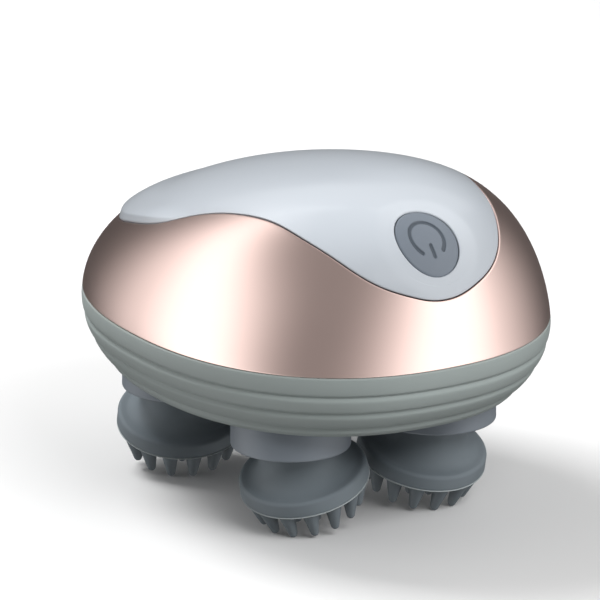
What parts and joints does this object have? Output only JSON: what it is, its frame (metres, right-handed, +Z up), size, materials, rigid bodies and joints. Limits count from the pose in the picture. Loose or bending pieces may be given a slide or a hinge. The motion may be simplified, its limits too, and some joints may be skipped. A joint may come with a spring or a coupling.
{
  "type": "electric scalp massager",
  "caption": "Hand-held battery scalp massager: domed housing with push button over geared, inclined kneading heads with blunt fingers.",
  "frame": {"origin": "on the resting surface under the middle of the housing's plan", "axes": "+Z up out of the cover, +X towards the nose with the button, Y across"},
  "size_m": [0.1141, 0.0946, 0.0799],
  "materials": {
    "cover_gloss": "pearl gloss",
    "band_metallic": "rose gold metallic lacquer",
    "skirt_silicone": "matt silicone",
    "case_plastic": "fine matt",
    "collar_plastic": "satin",
    "head_rubber": "soft matt silicone",
    "button_plastic": "satin",
    "seal_rubber": "matt",
    "screw_steel": "zinc plated",
    "shaft_steel": "ground",
    "motor_steel": "satin",
    "motor_plastic": "moulded",
    "gear_acetal": "moulded",
    "bearing_bronze": "sintered",
    "board_laminate": "solder mask",
    "component_black": "moulded",
    "cell_wrap": "shrink wrap",
    "contact_brass": "gold plated",
    "lead_insulation": "matt"
  },
  "bodies": {
    "housing": {"top_cover": "cover_gloss", "side_band": "band_metallic", "base_skirt": "skirt_silicone", "lower_case": "case_plastic", "case_gasket": "seal_rubber", "case_screws": "screw_steel", "button_gasket": "seal_rubber", "switch_body": "component_black", "circuit_board": "board_laminate", "board_components": "component_black", "motor_leads": "lead_insulation", "supply_leads": "lead_insulation", "board_screws": "screw_steel", "charge_pad": "component_black", "charge_contacts": "contact_brass", "battery_cell": "cell_wrap", "battery_cradle": "gear_acetal", "gear_deck": "gear_acetal", "motor_plate": "gear_acetal", "gearbox_screws": "screw_steel", "motor_can": "motor_steel", "motor_cap": "motor_plastic", "drive_axle": "shaft_steel", "idler_axle": "shaft_steel", "crank_bearings": "bearing_bronze", "crank_seals": "seal_rubber", "collar_front_right": "collar_plastic", "collar_front_left": "collar_plastic", "collar_rear_right": "collar_plastic", "collar_rear_left": "collar_plastic"},
    "push_button": {"power_button": "button_plastic", "switch_plunger": "component_black"},
    "rotor": {"motor_shaft": "shaft_steel", "motor_pinion": "bearing_bronze"},
    "idler": {"idler_gear": "gear_acetal"},
    "sun": {"drive_gear": "gear_acetal"},
    "spindle_front_right": {"crank_front_right": "shaft_steel", "head_gear_front_right": "gear_acetal", "head_screw_front_right": "screw_steel"},
    "massage_front_right": {"head_bush_front_right": "bearing_bronze", "head_cup_front_right": "head_rubber", "finger_pad_front_right": "head_rubber"},
    "spindle_front_left": {"crank_front_left": "shaft_steel", "head_gear_front_left": "gear_acetal", "head_screw_front_left": "screw_steel"},
    "massage_front_left": {"head_bush_front_left": "bearing_bronze", "head_cup_front_left": "head_rubber", "finger_pad_front_left": "head_rubber"},
    "spindle_rear_right": {"crank_rear_right": "shaft_steel", "head_gear_rear_right": "gear_acetal", "head_screw_rear_right": "screw_steel"},
    "massage_rear_right": {"head_bush_rear_right": "bearing_bronze", "head_cup_rear_right": "head_rubber", "finger_pad_rear_right": "head_rubber"},
    "spindle_rear_left": {"crank_rear_left": "shaft_steel", "head_gear_rear_left": "gear_acetal", "head_screw_rear_left": "screw_steel"},
    "massage_rear_left": {"head_bush_rear_left": "bearing_bronze", "head_cup_rear_left": "head_rubber", "finger_pad_rear_left": "head_rubber"}
  },
  "joints": [
    {"name": "button_press", "type": "slide", "parent": "housing", "child": "push_button", "axis": [-0.6237, 0, -0.7817], "range_m": [0, 0.0006], "stiffness_N_per_m": 900, "springref_m": -0.0004},
    {"name": "sun_turn", "type": "hinge", "parent": "housing", "child": "sun", "pos_m": [-0.00313, 0, 0.0351], "axis": [0, 0, 1], "continuous": true},
    {"name": "idler_turn", "type": "hinge", "parent": "housing", "child": "idler", "pos_m": [0.01847, 0, 0.0421], "axis": [0, 0, 1], "continuous": true},
    {"name": "motor_turn", "type": "hinge", "parent": "housing", "child": "rotor", "pos_m": [0.00347, 0, 0.0475], "axis": [0, 0, 1], "continuous": true},
    {"name": "crank_turn_front_right", "type": "hinge", "parent": "housing", "child": "spindle_front_right", "pos_m": [0.02091, -0.0186, 0.0273], "axis": [0, 0, 1], "continuous": true},
    {"name": "head_hold_front_right", "type": "hinge", "parent": "spindle_front_right", "child": "massage_front_right", "pos_m": [0.02091, -0.0186, 0.0273], "axis": [0.1306, -0.2801, 0.9511], "continuous": true},
    {"name": "crank_turn_front_left", "type": "hinge", "parent": "housing", "child": "spindle_front_left", "pos_m": [0.02091, 0.0186, 0.0273], "axis": [0, 0, 1], "continuous": true},
    {"name": "head_hold_front_left", "type": "hinge", "parent": "spindle_front_left", "child": "massage_front_left", "pos_m": [0.02091, 0.0186, 0.0273], "axis": [0.3067, 0.0377, 0.9511], "continuous": true},
    {"name": "crank_turn_rear_right", "type": "hinge", "parent": "housing", "child": "spindle_rear_right", "pos_m": [-0.02717, -0.0186, 0.0273], "axis": [0, 0, 1], "continuous": true},
    {"name": "head_hold_rear_right", "type": "hinge", "parent": "spindle_rear_right", "child": "massage_rear_right", "pos_m": [-0.02717, -0.0186, 0.0273], "axis": [0.2676, -0.1545, 0.9511], "continuous": true},
    {"name": "crank_turn_rear_left", "type": "hinge", "parent": "housing", "child": "spindle_rear_left", "pos_m": [-0.02717, 0.0186, 0.0273], "axis": [0, 0, 1], "continuous": true},
    {"name": "head_hold_rear_left", "type": "hinge", "parent": "spindle_rear_left", "child": "massage_rear_left", "pos_m": [-0.02717, 0.0186, 0.0273], "axis": [0.2531, 0.1772, 0.9511], "continuous": true}
  ],
  "couplings": [
    {"joint": "idler_turn", "follows": "sun_turn", "ratio": -5},
    {"joint": "motor_turn", "follows": "sun_turn", "ratio": 25},
    {"joint": "crank_turn_front_right", "follows": "sun_turn", "ratio": -1.375},
    {"joint": "head_hold_front_right", "follows": "sun_turn", "ratio": 1.375},
    {"joint": "crank_turn_front_left", "follows": "sun_turn", "ratio": -1.375},
    {"joint": "head_hold_front_left", "follows": "sun_turn", "ratio": 1.375},
    {"joint": "crank_turn_rear_right", "follows": "sun_turn", "ratio": -1.375},
    {"joint": "head_hold_rear_right", "follows": "sun_turn", "ratio": 1.375},
    {"joint": "crank_turn_rear_left", "follows": "sun_turn", "ratio": -1.375},
    {"joint": "head_hold_rear_left", "follows": "sun_turn", "ratio": 1.375}
  ]
}
